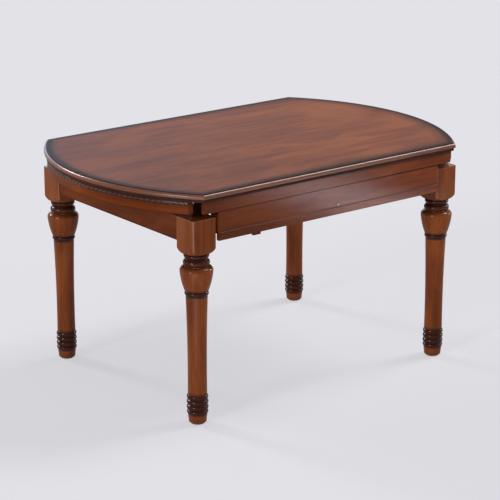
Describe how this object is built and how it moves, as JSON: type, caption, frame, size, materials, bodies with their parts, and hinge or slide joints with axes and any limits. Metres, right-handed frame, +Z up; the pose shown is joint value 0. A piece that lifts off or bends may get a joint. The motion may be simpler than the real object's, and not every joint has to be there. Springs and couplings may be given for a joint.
{
  "type": "swivel extending table",
  "caption": "Wooden dining table on turned legs; each long side swivels round to bring out a curved leaf, which lifts flush so the rounded oblong top becomes a full round.",
  "frame": {"origin": "on the floor under the middle of the top", "axes": "+X along the long axis of the closed top, +Y across it towards the back leaf, +Z up"},
  "size_m": [1.35, 0.874, 0.75],
  "materials": {
    "top_wood": "stained and lacquered, semi-gloss",
    "leg_wood": "stained and lacquered, semi-gloss",
    "skirt_wood": "stained and lacquered, semi-gloss",
    "band_wood": "carved, dark glaze in the hollows",
    "panel_wood": "stained and lacquered, glossy",
    "inner_wood": "plain, oiled",
    "black_steel": "black, satin",
    "bright_steel": "bright, machined",
    "brass": "polished",
    "glide_plastic": "matt",
    "cap_plastic": "ivory, satin"
  },
  "bodies": {
    "frame": {"table_top": "top_wood", "top_stiffeners": "black_steel", "leg_front_left": "leg_wood", "leg_front_right": "leg_wood", "leg_back_left": "leg_wood", "leg_back_right": "leg_wood", "foot_glides": "glide_plastic", "end_apron_left": "panel_wood", "end_apron_right": "panel_wood", "corner_braces": "inner_wood", "slab_brackets": "bright_steel", "frame_screws": "bright_steel", "end_skirt_left": "skirt_wood", "end_skirt_right": "skirt_wood", "end_band_left": "band_wood", "end_band_right": "band_wood", "skirt_cleats": "inner_wood", "front_pivot_post": "bright_steel", "back_pivot_post": "bright_steel", "front_post_collar": "brass", "back_post_collar": "brass"},
    "front_fascia_unit": {"front_fascia": "skirt_wood", "front_turning_brackets": "brass", "front_guide_rods": "bright_steel", "front_panel_hangers": "brass", "front_panel_pin": "bright_steel"},
    "front_lift_unit": {"front_lift_frame": "black_steel", "front_cam_pin": "bright_steel", "front_guide_sleeves": "brass"},
    "front_leaf_unit": {"front_leaf": "top_wood", "front_leaf_skirt": "skirt_wood", "front_leaf_band": "band_wood", "front_leaf_rods": "brass", "front_flange_screws": "bright_steel"},
    "front_panel_unit": {"front_side_panel": "panel_wood", "front_side_rail": "panel_wood", "front_rail_pull": "panel_wood", "front_panel_knob": "brass", "front_panel_catch": "brass", "front_panel_cap": "cap_plastic"},
    "back_fascia_unit": {"back_fascia": "skirt_wood", "back_turning_brackets": "brass", "back_guide_rods": "bright_steel", "back_panel_hangers": "brass", "back_panel_pin": "bright_steel"},
    "back_lift_unit": {"back_lift_frame": "black_steel", "back_cam_pin": "bright_steel", "back_guide_sleeves": "brass"},
    "back_leaf_unit": {"back_leaf": "top_wood", "back_leaf_skirt": "skirt_wood", "back_leaf_band": "band_wood", "back_leaf_rods": "brass", "back_flange_screws": "bright_steel"},
    "back_panel_unit": {"back_side_panel": "panel_wood", "back_side_rail": "panel_wood", "back_rail_pull": "panel_wood", "back_panel_knob": "brass", "back_panel_catch": "brass", "back_panel_cap": "cap_plastic"}
  },
  "joints": [
    {"name": "front_swivel", "type": "hinge", "parent": "frame", "child": "front_fascia_unit", "pos_m": [0, -0.401, 0.7], "axis": [0, 0, 1], "range_deg": [0, 180]},
    {"name": "front_rise", "type": "slide", "parent": "front_fascia_unit", "child": "front_lift_unit", "axis": [0, 0, 1], "range_m": [0, 0.0275]},
    {"name": "front_lift", "type": "slide", "parent": "front_lift_unit", "child": "front_leaf_unit", "axis": [0, 0, 1], "range_m": [0, 0.0275]},
    {"name": "front_panel_drop", "type": "hinge", "parent": "front_fascia_unit", "child": "front_panel_unit", "pos_m": [-0.4355, -0.401, 0.629], "axis": [0, 1, 0], "range_deg": [0, 5]},
    {"name": "back_swivel", "type": "hinge", "parent": "frame", "child": "back_fascia_unit", "pos_m": [0, 0.401, 0.7], "axis": [0, 0, 1], "range_deg": [0, 180]},
    {"name": "back_rise", "type": "slide", "parent": "back_fascia_unit", "child": "back_lift_unit", "axis": [0, 0, 1], "range_m": [0, 0.0275]},
    {"name": "back_lift", "type": "slide", "parent": "back_lift_unit", "child": "back_leaf_unit", "axis": [0, 0, 1], "range_m": [0, 0.0275]},
    {"name": "back_panel_drop", "type": "hinge", "parent": "back_fascia_unit", "child": "back_panel_unit", "pos_m": [0.4355, 0.401, 0.629], "axis": [0, -1, 0], "range_deg": [0, 5]}
  ],
  "couplings": [
    {"joint": "front_rise", "follows": "front_swivel", "m_per_rad": 0.0087535},
    {"joint": "back_rise", "follows": "back_swivel", "m_per_rad": 0.0087535}
  ]
}
